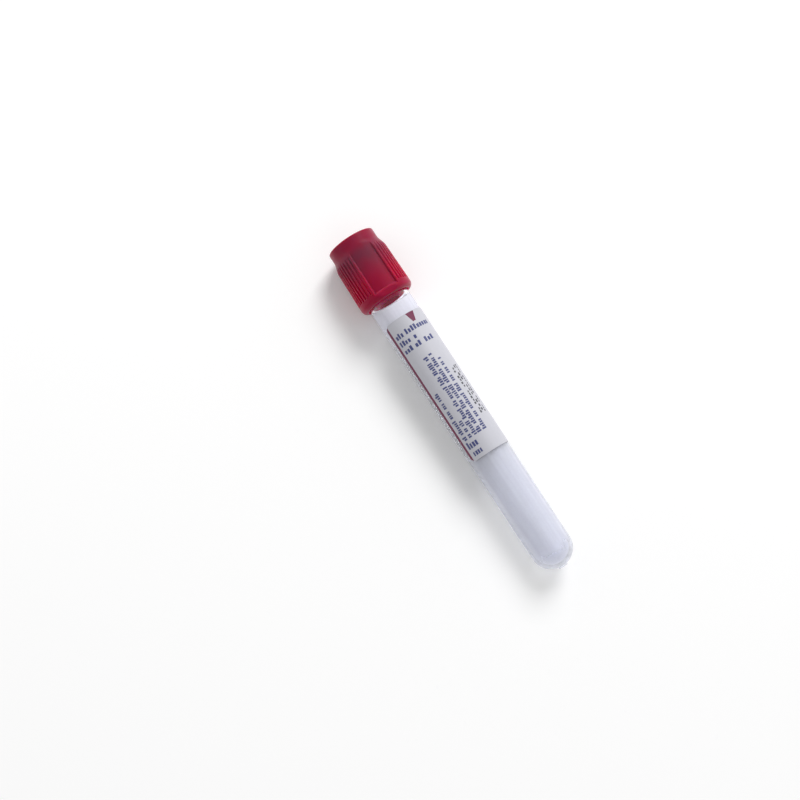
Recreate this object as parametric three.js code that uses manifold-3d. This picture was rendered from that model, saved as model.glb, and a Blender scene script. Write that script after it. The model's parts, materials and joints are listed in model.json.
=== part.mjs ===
// Blood collection tube: a clear moulded tube with a round bottom, closed by a ribbed rubber stopper
// and wrapped in a label.  It lies on a table, on a flat of the stopper and on its own round end.
//
// Lengths are millimetres and angles degrees.  Every piece is first made upright, in a frame whose Y
// axis is the tube's axis: height 0 is the tip of the round end, and angles round the tube are counted
// from +Z towards +X.  At the end the whole tube is laid down, with the stopper at -X and +Z up.

import * as THREE from 'three';
import { mergeVertices } from 'three/addons/utils/BufferGeometryUtils.js';
import Module from 'manifold-3d';

// ---------------------------------------------------------------- driving dimensions

// Tube
const tubeLength = 100;
const tubeDiameter = 13;          // outside, at the rim
const tubeEndDiameter = 12.66;    // outside, where the round end starts: the rest is mould draft
const tubeWall = 1;
const tubeEndWall = 1.25;         // at the tip, where the plastic was injected
const rimEdge = 0.25;             // edge radius, inside and outside the rim
const gateDiameter = 2.8;         // gate mark at the tip
const gateHeight = 0.2;

// Stopper, outside
const stopperAboveRim = 14.2;
const skirtOverlap = 6.9;         // how far the skirt comes down over the tube
const collarDiameter = 15.1;
const collarHeight = 2.7;
const collarEdge = 0.4;
const flareHeight = 4.1;
const ribTopDiameter = 16.8;      // over the ribs, just under the flare
const bandDiameter = 17.2;
const bandHeight = 2.7;
const bandEdge = 1.5;

// Stopper, inside
const wellDiameter = 7.8;
const wellDraft = 0.25;           // the well's radius is smaller by this at its floor
const wellDepth = 8;
const wellChamfer = 0.35;
const septumThickness = 5;
const plugLength = 7.5;           // below the rim
const plugEndDiameter = 8.3;
const plugLead = 3;               // length of the taper that starts the plug into the tube
const plugEdge = 0.3;
const plugRecessDiameter = 7;
const plugRecessDraft = 0.4;
const skirtLead = 0.3;            // chamfer that guides the rim into the skirt
const plugClearance = 0.1;        // radial, plug to bore; the rubber is drawn unsqueezed
const skirtClearance = 0.15;      // radial, skirt to the outside of the tube
const rimClearance = 0.3;         // axial, rim to the end of its groove

// Ribs and panels: each half turn has one smooth panel and one group of ribs
const panelAngle = 54;
const panelDepth = 0.9;           // below the ribs, at the middle of the panel
const panelCrown = 4;             // the panel is turned about a line this far behind the axis
const ledgeHeight = 1;            // slope from the panel out to the band
const borderRibAngle = 4.5;
const ribAngle = 3.6;
const ribsPerGroup = 14;
const grooveDepth = 0.35;
const grooveFloor = 0.2;          // how much of that depth is the groove's rounded floor
const restFlatDepth = 0.6;        // flat on the band below each panel, cut this deep at its start

// Label
const labelBelowRim = 14;
const labelLength = 47.1;
const labelWidth = 34;            // unrolled, round the tube
const labelThickness = 0.12;
const labelGlue = 0.08;           // between the tube and the label
const labelCorner = 2;
const labelTurn = 84.438245;      // angle of its middle line, from the top of the tube as it lies

// Fineness of the curves
const turnSegments = 48;          // round the tube and every turned hollow
const skinSegments = 96;          // round the stopper's outside
const labelColumns = 46;          // round the label

// ---------------------------------------------------------------- derived dimensions

const degree = Math.PI / 180;
const past = 1;                   // how far a cutter reaches past what it cuts

const rimHeight = tubeLength;
const tubeRadius = tubeDiameter / 2;
const endRadius = tubeEndDiameter / 2;
const boreRadius = tubeRadius - tubeWall;
const boreEndRadius = endRadius - tubeWall;

const topHeight = rimHeight + stopperAboveRim;
const skirtHeight = rimHeight - skirtOverlap;
const bandTop = skirtHeight + bandHeight;
const flareBottom = topHeight - collarHeight - flareHeight;
const collarRadius = collarDiameter / 2;
const ribTopRadius = ribTopDiameter / 2;
const bandRadius = bandDiameter / 2;
const plugRadius = boreRadius - plugClearance;
const plugEndRadius = plugEndDiameter / 2;
const plugHeight = rimHeight - plugLength;
const skirtInnerRadius = tubeRadius + skirtClearance;
const panelRadius = ribTopRadius - panelDepth;
const grooveRadius = ribTopRadius - grooveDepth;
const restFlatDistance = bandRadius - restFlatDepth;
const restFlatInset = bandEdge - restFlatDepth;
const restFlatStart = skirtHeight + bandEdge - Math.sqrt(bandEdge ** 2 - restFlatInset ** 2);

/** Radius of the tube's outside at a height on its straight part. */
function tubeOutside(height) {
  return THREE.MathUtils.mapLinear(height, endRadius, rimHeight, endRadius, tubeRadius);
}

// ---------------------------------------------------------------- tools

const wasm = await Module();
wasm.setup();

/** A closed three.js geometry as a solid that can be cut. */
function solid(geometry) {
  const bare = geometry.clone();
  bare.deleteAttribute('normal');
  bare.deleteAttribute('uv');
  const merged = mergeVertices(bare, 1e-5);
  return new wasm.Manifold(new wasm.Mesh({
    numProp: 3,
    vertProperties: Float32Array.from(merged.attributes.position.array),
    triVerts: Uint32Array.from(merged.index.array),
  }));
}

/** A cut solid as a three.js geometry. */
function geometryOf(cut) {
  const mesh = cut.getMesh();
  const geometry = new THREE.BufferGeometry();
  geometry.setAttribute('position', new THREE.BufferAttribute(mesh.vertProperties, 3));
  geometry.setIndex(new THREE.BufferAttribute(mesh.triVerts, 1));
  geometry.computeVertexNormals();
  return geometry;
}

/** Points of an arc of radius `radius` about (x, y), from one angle to another, ends included. */
function arc(x, y, radius, from, to, steps) {
  const points = [];
  for (let i = 0; i <= steps; i += 1) {
    const angle = THREE.MathUtils.lerp(from, to, i / steps) * degree;
    points.push([x + radius * Math.cos(angle), y + radius * Math.sin(angle)]);
  }
  return points;
}

/** Points of a smooth S-shaped run from one [radius, height] to another, ends included. */
function sRun([radiusA, heightA], [radiusB, heightB], steps) {
  const points = [];
  for (let i = 0; i <= steps; i += 1) {
    const share = THREE.MathUtils.smoothstep(i / steps, 0, 1);
    points.push([
      THREE.MathUtils.lerp(radiusA, radiusB, share),
      THREE.MathUtils.lerp(heightA, heightB, i / steps),
    ]);
  }
  return points;
}

/** A profile of [radius, height] points, turned about the Y axis. */
function turned(profile, segments) {
  return new THREE.LatheGeometry(profile.map(([r, h]) => new THREE.Vector2(r, h)), segments);
}

/** A plan outline (its x and y are X and -Z), carried straight up from one height to another. */
function prism(shape, low, high, curveSegments = 6) {
  const settings = { depth: high - low, bevelEnabled: false, curveSegments };
  return new THREE.ExtrudeGeometry(shape, settings).rotateX(-Math.PI / 2).translate(0, low, 0);
}

/** The part of space within `half` degrees of +Z, between two heights. */
function sector(half, low, high) {
  const reach = 2 * bandDiameter;
  const side = reach * Math.tan(half * degree);
  const shape = new THREE.Shape();
  shape.moveTo(0, 0);
  shape.lineTo(-side, -reach);
  shape.lineTo(side, -reach);
  return solid(prism(shape, low, high));
}

/** The same solid, turned about the Y axis by an angle in degrees. */
function turnedBy(piece, angle) {
  return piece.rotate([0, angle, 0]);
}

// ---------------------------------------------------------------- tube

/** The moulded tube: round end with its gate mark, draft inside and out, and a softened rim. */
function tubeGeometry() {
  const gateRadius = gateDiameter / 2;
  const gateAngle = Math.asin(gateRadius / endRadius) / degree;
  const insideFloor = gateHeight + tubeEndWall;
  const endCentre = gateHeight + endRadius;
  const outside = arc(0, endCentre, endRadius, -90 + gateAngle, 0, 12);
  const rimOutside = arc(tubeRadius - rimEdge, rimHeight - rimEdge, rimEdge, 0, 90, 2);
  const rimInside = arc(boreRadius + rimEdge, rimHeight - rimEdge, rimEdge, 90, 180, 2);
  const insideEnd = arc(0, insideFloor + boreEndRadius, boreEndRadius, 0, -90, 10);
  insideEnd[insideEnd.length - 1][0] = 0;
  const gate = [[0, 0], [gateRadius - gateHeight / 2, 0], [gateRadius, gateHeight / 2]];
  const profile = [...gate, ...outside, ...rimOutside, ...rimInside, ...insideEnd];
  return turned(profile, turnSegments);
}

// ---------------------------------------------------------------- stopper

/** The stopper's outside before the panels and grooves are cut: collar, flare, body and band. */
function stopperSkin() {
  const top = arc(collarRadius - collarEdge, topHeight - collarEdge, collarEdge, 90, 0, 3);
  const flare = sRun([collarRadius, topHeight - collarHeight], [ribTopRadius, flareBottom], 6);
  const edge = arc(bandRadius - bandEdge, skirtHeight + bandEdge, bandEdge, 0, -90, 4);
  const profile = [[0, topHeight], ...top, ...flare, [bandRadius, bandTop], ...edge, [0, skirtHeight]];
  return solid(turned(profile.reverse(), skinSegments));
}

/** The well in the top, with drafted walls and a chamfered mouth. */
function well() {
  const radius = wellDiameter / 2;
  const floor = topHeight - wellDepth;
  const chamferTop = radius + wellChamfer + past;
  const profile = [[0, floor], [radius - wellDraft, floor], [radius, topHeight - wellChamfer],
    [chamferTop, topHeight + past], [0, topHeight + past]];
  return solid(turned(profile, turnSegments));
}

/** The socket inside the skirt: its wall goes over the tube, and its roof meets the rim. */
function skirtSocket() {
  const roof = rimHeight + rimClearance;
  const open = skirtHeight - past;
  const profile = [[0, open], [skirtInnerRadius + skirtLead + past, open],
    [skirtInnerRadius, skirtHeight + skirtLead], [skirtInnerRadius, roof], [0, roof]];
  return solid(turned(profile, turnSegments));
}

/** The plug that fills the tube's mouth, rooted in the roof of the socket and tapered at its end. */
function plug() {
  const edge = arc(plugEndRadius - plugEdge, plugHeight + plugEdge, plugEdge, -90, 0, 3);
  const leadTop = plugHeight + plugLead;
  const rootHeight = rimHeight + rimClearance + past;
  const profile = [[0, plugHeight], ...edge, [plugRadius, leadTop], [plugRadius, rootHeight],
    [0, rootHeight]];
  return solid(turned(profile, turnSegments));
}

/** The hollow in the plug's lower end, up to the septum. */
function plugRecess() {
  const radius = plugRecessDiameter / 2;
  const roof = topHeight - wellDepth - septumThickness;
  const profile = [[0, plugHeight - past], [radius, plugHeight - past], [radius, plugHeight],
    [radius - plugRecessDraft, roof], [0, roof]];
  return solid(turned(profile, turnSegments));
}

/** Cutter for one smooth panel, with the run-out under the collar and the ledge above the band. */
function panelCutter() {
  const radius = panelRadius + panelCrown;
  const outer = bandRadius + panelCrown + past;
  const runOut = sRun([collarRadius + panelCrown, topHeight - collarHeight], [radius, flareBottom], 5);
  const ledge = [radius, bandTop];
  const foot = [radius + bandRadius - panelRadius, bandTop - ledgeHeight];
  const profile = [...runOut, ledge, foot, [outer, foot[1]], [outer, topHeight - collarHeight]];
  const ring = solid(turned([...profile, profile[0]], skinSegments));
  return ring.translate([0, 0, -panelCrown]).intersect(sector(panelAngle / 2, skirtHeight, topHeight));
}

/** Angle between the table and the axis of a tube that lies on its round end and a stopper's flat. */
function restAngle() {
  const along = restFlatStart - gateHeight - endRadius;
  return Math.atan2(restFlatDistance, along) - Math.asin(endRadius / Math.hypot(along, restFlatDistance));
}

/** Cutter for the flat on the band below one panel: the stopper lies on it, in the table's plane. */
function restFlatCutter() {
  const block = new THREE.BoxGeometry(bandDiameter, 2 * bandHeight, bandRadius);
  block.translate(0, 0, bandRadius / 2);
  block.rotateX(restAngle());
  return solid(block.translate(0, restFlatStart, restFlatDistance));
}

/** Cutter for one groove between two ribs, centred on +Z: straight walls and a rounded floor. */
function grooveCutter(angleWide) {
  const half = ribTopRadius * Math.tan(angleWide / 2 * degree);
  const shoulder = grooveRadius + grooveFloor;
  const outer = bandRadius + past;
  const shape = new THREE.Shape();
  shape.moveTo(-half, -outer);
  shape.lineTo(-half, -shoulder);
  shape.quadraticCurveTo(0, -grooveRadius + grooveFloor, half, -shoulder);
  shape.lineTo(half, -outer);
  return solid(prism(shape, bandTop, topHeight, 4));
}

/** All the grooves of one group of ribs: the ribs are what they leave standing. */
function grooveCutters() {
  const groupAngle = 180 - panelAngle - 2 * borderRibAngle;
  const grooveAngle = (groupAngle - ribsPerGroup * ribAngle) / (ribsPerGroup + 1);
  const first = panelAngle / 2 + borderRibAngle + grooveAngle / 2;
  const cutter = grooveCutter(grooveAngle);
  const cutters = [];
  for (let i = 0; i <= ribsPerGroup; i += 1) {
    cutters.push(turnedBy(cutter, first + i * (grooveAngle + ribAngle)));
  }
  return cutters;
}

/** The whole stopper: skin less socket, panels, flats and grooves, then the plug and the hollows. */
function stopperGeometry() {
  const halfTurn = [panelCutter(), restFlatCutter(), ...grooveCutters()];
  let stopper = stopperSkin().subtract(skirtSocket());
  for (const angle of [0, 180]) {
    for (const cutter of halfTurn) {
      stopper = stopper.subtract(turnedBy(cutter, angle));
    }
  }
  stopper = stopper.add(plug()).subtract(well()).subtract(plugRecess());
  return geometryOf(stopper);
}

// ---------------------------------------------------------------- label

/** The label: a flat sheet with round corners, bent round the tube and following its draft. */
function labelGeometry() {
  const sheet = new THREE.BoxGeometry(labelWidth, labelLength, labelThickness, labelColumns, 1, 1);
  const place = sheet.attributes.position;
  const middle = rimHeight - labelBelowRim - labelLength / 2;
  const meanRadius = tubeOutside(middle);
  for (let i = 0; i < place.count; i += 1) {
    const across = place.getX(i) + labelWidth / 2;
    const fromEnd = Math.min(across, labelWidth - across);
    const inset = Math.max(0, labelCorner - fromEnd);
    const drop = labelCorner - Math.sqrt(labelCorner ** 2 - inset ** 2);
    const height = middle + place.getY(i) - Math.sign(place.getY(i)) * drop;
    const angle = labelTurn * degree + place.getX(i) / meanRadius;
    const radius = tubeOutside(height) + labelGlue + labelThickness / 2 + place.getZ(i);
    place.setXYZ(i, radius * Math.sin(angle), height, radius * Math.cos(angle));
  }
  return geometryOf(solid(sheet));
}

// ---------------------------------------------------------------- assembly

/** A named piece with its own material. */
function piece(name, geometry, settings) {
  const mesh = new THREE.Mesh(geometry, new THREE.MeshStandardMaterial(settings));
  mesh.name = name;
  return mesh;
}

const clearPlastic = { color: 0xe6e8f2, roughness: 0.08, metalness: 0, transparent: true, opacity: 0.35 };
const redRubber = { color: 0x9c1b34, roughness: 0.5, metalness: 0 };
const labelPaper = { color: 0xd8dadf, roughness: 0.6, metalness: 0 };

const upright = new THREE.Group();
upright.add(piece('tube', tubeGeometry(), clearPlastic));
upright.add(piece('stopper', stopperGeometry(), redRubber));
upright.add(piece('label', labelGeometry(), labelPaper));
upright.rotation.z = Math.PI / 2;

const lying = new THREE.Group();
lying.add(upright);
lying.rotation.y = restAngle();
lying.updateMatrixWorld(true);

// The origin is on the table, under the middle of the tube's own box.
const reach = new THREE.Box3().setFromObject(lying, true);
const centre = reach.getCenter(new THREE.Vector3());
lying.position.set(-centre.x, -centre.y, -reach.min.z);

const bloodCollectionTube = new THREE.Group();
bloodCollectionTube.add(lying);

export default bloodCollectionTube;
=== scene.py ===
"""Blood collection tube: a clear moulded tube, its ribbed rubber stopper and its printed label.

Laid out as an add-on with one operator for each piece.  Every piece is worked out in the tube's own
frame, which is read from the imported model: heights run along the axis from the tip of the round end,
and angles run round it from the side that faces up.
"""

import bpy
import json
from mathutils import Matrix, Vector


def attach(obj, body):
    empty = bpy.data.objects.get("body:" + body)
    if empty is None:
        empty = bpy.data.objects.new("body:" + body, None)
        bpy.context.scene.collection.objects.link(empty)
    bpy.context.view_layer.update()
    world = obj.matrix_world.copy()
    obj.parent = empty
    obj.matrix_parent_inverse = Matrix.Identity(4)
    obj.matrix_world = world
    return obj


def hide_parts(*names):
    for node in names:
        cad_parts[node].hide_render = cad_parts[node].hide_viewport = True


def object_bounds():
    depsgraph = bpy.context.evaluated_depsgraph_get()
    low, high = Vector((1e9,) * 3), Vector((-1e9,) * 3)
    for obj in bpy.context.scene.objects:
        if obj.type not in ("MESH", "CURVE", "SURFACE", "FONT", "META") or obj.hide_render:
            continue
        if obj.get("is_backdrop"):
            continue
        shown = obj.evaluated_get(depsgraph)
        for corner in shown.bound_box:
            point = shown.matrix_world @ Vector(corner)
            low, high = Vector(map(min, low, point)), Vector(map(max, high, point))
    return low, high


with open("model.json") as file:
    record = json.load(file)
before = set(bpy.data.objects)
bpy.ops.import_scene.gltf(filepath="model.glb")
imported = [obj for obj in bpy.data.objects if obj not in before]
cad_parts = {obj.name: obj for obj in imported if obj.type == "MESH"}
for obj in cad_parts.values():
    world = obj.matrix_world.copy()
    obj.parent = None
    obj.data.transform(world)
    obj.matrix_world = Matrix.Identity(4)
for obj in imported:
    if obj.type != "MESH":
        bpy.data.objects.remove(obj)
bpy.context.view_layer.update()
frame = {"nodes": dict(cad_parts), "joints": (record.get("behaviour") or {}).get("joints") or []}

import json
import math

import bpy
import numpy as np
from bpy.props import FloatProperty, FloatVectorProperty, IntProperty, PointerProperty
from mathutils import Matrix, Vector

bl_info = {
    "name": "Blood collection tube",
    "version": (1, 0, 0),
    "blender": (4, 5, 0),
    "location": "3D View > Sidebar > Blood Tube",
    "description": "Builds a stoppered and labelled blood collection tube piece by piece",
    "category": "Add Mesh",
}

MM = 0.001


# ---------------------------------------------------------------- the tube's own frame


def cad_points(node):
    """The vertices of a CAD node, as an array of points."""
    mesh = frame["nodes"][node].data
    points = np.empty(len(mesh.vertices) * 3)
    mesh.vertices.foreach_get("co", points)
    return points.reshape(-1, 3)


def unit(vector):
    """The vector at length one."""
    return vector / np.linalg.norm(vector)


ALONG = unit(np.array(frame["joints"][0]["axis"], float))
SIDE = np.array((0.0, 1.0, 0.0))
TOP = np.cross(SIDE, ALONG)


def measure(node):
    """Lowest and highest (side, along, top) coordinates of a CAD node."""
    local = cad_points(node) @ np.array((SIDE, ALONG, TOP)).T
    return local.min(0), local.max(0)


TUBE_LOW, TUBE_HIGH = measure("tube")
STOPPER_LOW, STOPPER_HIGH = measure("stopper")
LABEL_LOW, LABEL_HIGH = measure("label")
TIP = ALONG * TUBE_LOW[1] + TOP * (TUBE_LOW[2] + TUBE_HIGH[2]) / 2
TUBE_LENGTH = TUBE_HIGH[1] - TUBE_LOW[1]
TUBE_RADIUS = (TUBE_HIGH[0] - TUBE_LOW[0]) / 2


def place(radius, angle, height):
    """Points at a radius, an angle in radians and a height in the tube's own frame."""
    radius, angle, height = np.broadcast_arrays(radius, angle, height)
    across = (radius * np.sin(angle))[..., None] * SIDE + (radius * np.cos(angle))[..., None] * TOP
    return TIP + across + height[..., None] * ALONG


# ---------------------------------------------------------------- sizes and colours


def length(name, millimetres, description):
    """A length that a user can change, with its default in millimetres."""
    return FloatProperty(name=name, description=description, default=millimetres * MM,
                         subtype="DISTANCE", unit="LENGTH", precision=5)


def degrees(name, value, description):
    """An angle that a user can change, with its default in degrees."""
    return FloatProperty(name=name, description=description, default=math.radians(value),
                         subtype="ANGLE", unit="ROTATION")


def share_of(name, value, description):
    """A share or a level of light that a user can change."""
    return FloatProperty(name=name, description=description, default=value)


def linear(hex_colour):
    """An sRGB hex colour as linear red, green and blue."""
    shares = [int(hex_colour[i:i + 2], 16) / 255 for i in (1, 3, 5)]
    return tuple(s / 12.92 if s <= 0.04045 else ((s + 0.055) / 1.055) ** 2.4 for s in shares)


def colour(name, hex_colour, description):
    """A colour that a user can change, with its default as sRGB hex."""
    return FloatVectorProperty(name=name, description=description, default=linear(hex_colour),
                               subtype="COLOR", size=3, min=0, max=1)


class TubeSizes(bpy.types.PropertyGroup):
    """Sizes of the clear tube, and its colours."""
    length: length("Length", TUBE_LENGTH / MM, "From the gate mark to the rim")
    radius: length("Radius", TUBE_RADIUS / MM, "Outside radius at the rim")
    draft: length("Draft", 0.17, "How much smaller the radius is where the round end starts")
    wall: length("Wall", 1.0, "Thickness of the side wall")
    end_wall: length("End wall", 1.25, "Thickness at the tip")
    rim_edge: length("Rim edge", 0.25, "Edge radius of the rim")
    gate_radius: length("Gate radius", 1.4, "Radius of the gate mark")
    gate_height: length("Gate height", 0.2, "How far the gate mark stands out")
    coat_below_rim: length("Coat below rim", 7.6, "From the rim to where the coat on the bore starts")
    coat_slant: length("Coat slant", 1.8, "How much lower the coat starts on the side that lies on top")
    coat_fade: length("Coat fade", 0.4, "Length over which the coat sets in")
    coat_share: share_of("Coat", 0.45, "Share of light that the coat scatters")
    haze_share: share_of("Haze", 0.33, "Share that the haze on the outside scatters")
    # Painted light: beside the plug the haze thickens and whitens, for the lit table seen through the neck.
    neck_light_share: share_of("Neck haze", 0.9, "Share that the haze scatters by the plug")
    neck_length: length("Neck length", 22.0, "Length over which the haze by the plug thins out")
    tip_share: share_of("Tip", 0.55, "Part of coat and haze left at the tip")
    glow_share: share_of("Glow", 0.2, "Part of the scattered light that goes on inwards")
    clear_colour: colour("Plastic", "#f4f5fb", "Tint of the clear plastic")
    coat_colour: colour("Coat colour", "#dfe1ec", "Colour of the dried coat on the bore")
    # Painted light: the near-white that the outside takes beside the plug.
    neck_light_colour: colour("Haze", "#f4f4ff", "Colour of the haze on the outside")
    clear_shade: colour("Plastic's shadow", "#ededee", "Light that each face of the plastic lets past")
    coat_shade: colour("Coat's shadow", "#aeaeaa", "Light that the coated bore lets past")


class StopperSizes(bpy.types.PropertyGroup):
    """Sizes of the rubber stopper, and its colours."""
    above_rim: length("Above rim", 14.2, "Height of the stopper above the tube's rim")
    overlap: length("Overlap", 6.9, "How far the skirt comes down over the tube")
    collar_radius: length("Collar radius", 7.55, "Radius of the plain collar")
    collar_height: length("Collar height", 2.7, "Height of the plain collar")
    collar_edge: length("Collar edge", 0.4, "Edge radius of the top")
    flare_height: length("Flare height", 4.1, "Height over which the collar widens")
    rib_radius: length("Rib radius", 8.4, "Radius over the ribs, just under the flare")
    band_radius: length("Band radius", 8.6, "Radius of the plain band at the skirt's end")
    band_height: length("Band height", 2.7, "Height of that band")
    band_edge: length("Band edge", 1.5, "Edge radius of the skirt's end")
    well_radius: length("Well radius", 3.9, "Radius of the well in the top")
    well_draft: length("Well draft", 0.25, "How much smaller the well's radius is at its floor")
    well_depth: length("Well depth", 8.0, "Depth of the well")
    well_chamfer: length("Well chamfer", 0.35, "Edge of the well's mouth")
    septum: length("Septum", 5.0, "Rubber between the well and the plug's hollow")
    plug_length: length("Plug length", 7.5, "Length of the plug below the rim")
    plug_end_radius: length("Plug end radius", 4.15, "Radius of the plug's tapered end")
    plug_lead: length("Plug lead", 3.0, "Length of that taper")
    plug_edge: length("Plug edge", 0.3, "Edge radius of the plug's end")
    plug_squeeze: length("Plug squeeze", 0.01, "How far the plug presses into the bore")
    recess_radius: length("Recess radius", 3.5, "Radius of the hollow in the plug's end")
    recess_draft: length("Recess draft", 0.4, "How much smaller that radius is at its roof")
    skirt_clearance: length("Skirt clearance", 0.15, "Between the skirt and the tube")
    skirt_lead: length("Skirt lead", 0.3, "Chamfer at the skirt's mouth")
    rim_clearance: length("Rim clearance", 0.3, "Between the rim and the end of its groove")
    panel_depth: length("Panel depth", 0.9, "Depth of a panel's middle below the ribs")
    panel_crown: length("Panel crown", 4.0, "How far behind the axis a panel's centre line lies")
    ledge_height: length("Ledge height", 1.0, "Height of the slope from a panel out to the band")
    groove_depth: length("Groove depth", 0.35, "Depth of the grooves between ribs")
    groove_floor: length("Groove floor", 0.2, "How much of that depth is a groove's rounded floor")
    floor_fillet: length("Floor fillet", 0.5, "Fillet at the floor of the well and the roof of the hollow")
    soft_edge: length("Soft edge", 0.1, "Half the width over which a moulded edge turns")
    panel_angle: degrees("Panel angle", 54, "Width of each smooth panel")
    border_angle: degrees("Border angle", 4.5, "Width of the rib beside each panel")
    rib_angle: degrees("Rib angle", 3.6, "Width of each narrow rib")
    ribs: IntProperty(name="Ribs", description="Narrow ribs in each of the two groups", default=14, min=1)
    # Painted sheen and shade: these four sizes and the last colour give the top a greyer, darker red.
    collar_sheen_shade: share_of("Collar bloom", 0.4, "Part of the bloom that the top of the collar has")
    sheen_shade_rise: length("Bloom rise", 2.4, "From the top to where the bloom starts to thicken")
    sheen_shade_start: length("Bloom start", 6.0, "From the top to where the bloom is full and starts to thin out")
    sheen_shade_end: length("Bloom end", 16.0, "From the top to where the bloom ends")
    rubber_colour: colour("Rubber", "#9c0a38", "Colour of the clean rubber")
    # Painted light: the plug's brighter red, and some of it in the grooves against their shade.
    groove_light: share_of("Groove light", 0.5, "How much of the plug's brighter red the grooves have")
    plug_glow_colour: colour("Plug", "#ff1866", "Colour of the plug")
    sheen_shade_colour: colour("Bloom", "#7a2842", "Colour of the rubber under its bloom")


class LabelSizes(bpy.types.PropertyGroup):
    """Sizes of the label and of its print, and their colours."""
    below_rim: length("Below rim", 14, "From the rim to the label's first edge")
    length: length("Length", (LABEL_HIGH[1] - LABEL_LOW[1]) / MM, "Length along the tube")
    width: length("Width", 34, "Width round the tube, unrolled")
    thickness: length("Thickness", 0.12, "Thickness of the paper")
    glue: length("Glue", 0.08, "Layer of glue between the tube and the paper")
    corner: length("Corner", 2, "Corner radius")
    start: degrees("Start", -67, "Angle of the label's first edge")
    stripe_width: length("Stripe width", 0.95, "Width of the stripe along the first edge")
    stripe_inset: length("Stripe inset", 0.12, "Paper left outside the stripe")
    tab_middle: length("Tab middle", 9.4, "From the first edge to the middle of the colour tab")
    tab_width: length("Tab width", 2.75, "Width of the tab at the label's top edge")
    tab_foot: length("Tab foot", 0.95, "Width of the tab's other end")
    tab_length: length("Tab length", 3.0, "Length of the tab")
    ink: length("Ink", 0.01, "Half the thickness of a film of ink")
    paper_colour: colour("Paper", "#c7c7cf", "Colour of the paper")
    red_colour: colour("Red ink", "#6c1240", "Colour of the stripe and the tab")
    blue_colour: colour("Blue ink", "#444a7c", "Colour of the blocks that stand for print")
    black_colour: colour("Black ink", "#4a4a52", "Colour of the jet-printed dashes")


class StageSizes(bpy.types.PropertyGroup):
    """Camera and light."""
    azimuth: degrees("Azimuth", 43.81, "Camera's angle round the part")
    elevation: degrees("Elevation", 77.64, "Camera's angle above the table")
    roll: degrees("Roll", 13.59, "Turn of the camera about its own view")
    distance: length("Distance", 450, "From the camera to the part")
    move_left: length("Move left", 16.19, "How far the camera stands left of the part's middle")
    move_up: length("Move up", 0.31, "How far the camera stands above the part's middle, in the frame")
    lens: FloatProperty(name="Lens", description="Focal length in millimetres", default=69.29, min=1)
    key_level: share_of("Key level", 0.5, "Share of white from the key")
    zenith_level: share_of("Zenith level", 0.35, "World's light from above")
    horizon_level: share_of("Horizon level", 0.75, "World's light from low down")
    white_below: share_of("White below", 0.2, "Upward part of the directions that see a white backdrop")
    dim_above: share_of("Dim above", 0.7, "Upward part of those that see it as dim as the zenith")
    floor_glow: share_of("Floor glow", 0.1, "Light added to the table in view")
    glow_through: share_of("Glow through", 0.3, "Light added to the table behind plastic")
    fade_start: length("Fade start", 200, "From the part to where the table starts to be seen as plain white")
    fade_end: length("Fade end", 800, "From the part to where it is seen as plain white")
    floor_colour: colour("Floor", "#fafafa", "Colour of the table")


# ---------------------------------------------------------------- meshes


def smoothstep(low, high, value):
    """0 below low, 1 above high, and 3t^2 - 2t^3 of the share t between them."""
    share = np.clip((value - low) / (high - low), 0, 1)
    return share * share * (3 - 2 * share)


def soft_min(a, b, width):
    """The smaller of two values, rounded by a parabola where they differ by less than width."""
    overlap = np.clip(width - np.abs(a - b), 0, None) / width
    return np.minimum(a, b) - overlap * overlap * width / 4


def arc(x, y, radius, start, end, count):
    """Points of an arc about (x, y), from one angle in degrees to another."""
    angles = np.radians(np.linspace(start, end, count))
    return np.column_stack((x + radius * np.cos(angles), y + radius * np.sin(angles)))


def grid_faces(rows, columns, closed):
    """Quads between neighbouring rows and columns of a grid; closed joins the last column to the first."""
    last = columns if closed else columns - 1
    row = np.arange(rows - 1)[:, None] * columns
    here = np.arange(last)[None, :]
    ahead = (here + 1) % columns
    return np.stack((row + here, row + ahead, row + columns + ahead, row + columns + here), -1).reshape(-1, 4)


def mesh_object(name, points, faces, material, coordinates=None):
    """A smooth mesh object from arrays, with an optional pair of own coordinates at each vertex."""
    mesh = bpy.data.meshes.new(name)
    mesh.from_pydata(points.reshape(-1, 3), [], [list(face) for face in faces])
    mesh.shade_smooth()
    mesh.set_sharp_from_angle(angle=math.radians(60))
    if coordinates is not None:
        layer = mesh.uv_layers.new(name="Sheet")
        corners = np.empty(len(mesh.loops), int)
        mesh.loops.foreach_get("vertex_index", corners)
        layer.data.foreach_set("uv", coordinates.reshape(-1, 2)[corners].astype(np.float32).ravel())
    mesh.materials.append(material)
    piece = bpy.data.objects.new(name, mesh)
    bpy.context.scene.collection.objects.link(piece)
    return piece


def turned_object(name, radius, angles, height, material):
    """A closed skin from rows of radius and height round the axis.

    Each row but the first and last is a ring, one vertex for each angle.  The first and last rows are
    single points on the axis, joined to their neighbours by fans of triangles.
    """
    radius, height = np.broadcast_arrays(radius, height)
    columns = len(angles)
    rings = place(radius[1:-1], angles[None, :], height[1:-1]).reshape(-1, 3)
    ends = place(np.zeros(2), 0.0, np.array((height[0, 0], height[-1, 0])))
    points = np.vstack((rings, ends))
    faces = grid_faces(len(radius) - 2, columns, closed=True).tolist()
    here = np.arange(columns)
    ahead = (here + 1) % columns
    top_row = len(rings) - columns
    first, last = len(rings), len(rings) + 1
    faces += np.column_stack((np.full(columns, first), ahead, here)).tolist()
    faces += np.column_stack((np.full(columns, last), top_row + here, top_row + ahead)).tolist()
    return mesh_object(name, points, faces, material)


def add_values(piece, name, values):
    """Values in the rows and columns of a turned object, stored at its points for its material to read."""
    layer = piece.data.attributes.new(name, "FLOAT", "POINT")
    at_points = np.concatenate((values[1:-1].ravel(), values[[0, -1], 0]))
    layer.data.foreach_set("value", at_points.astype(np.float32))


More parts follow.
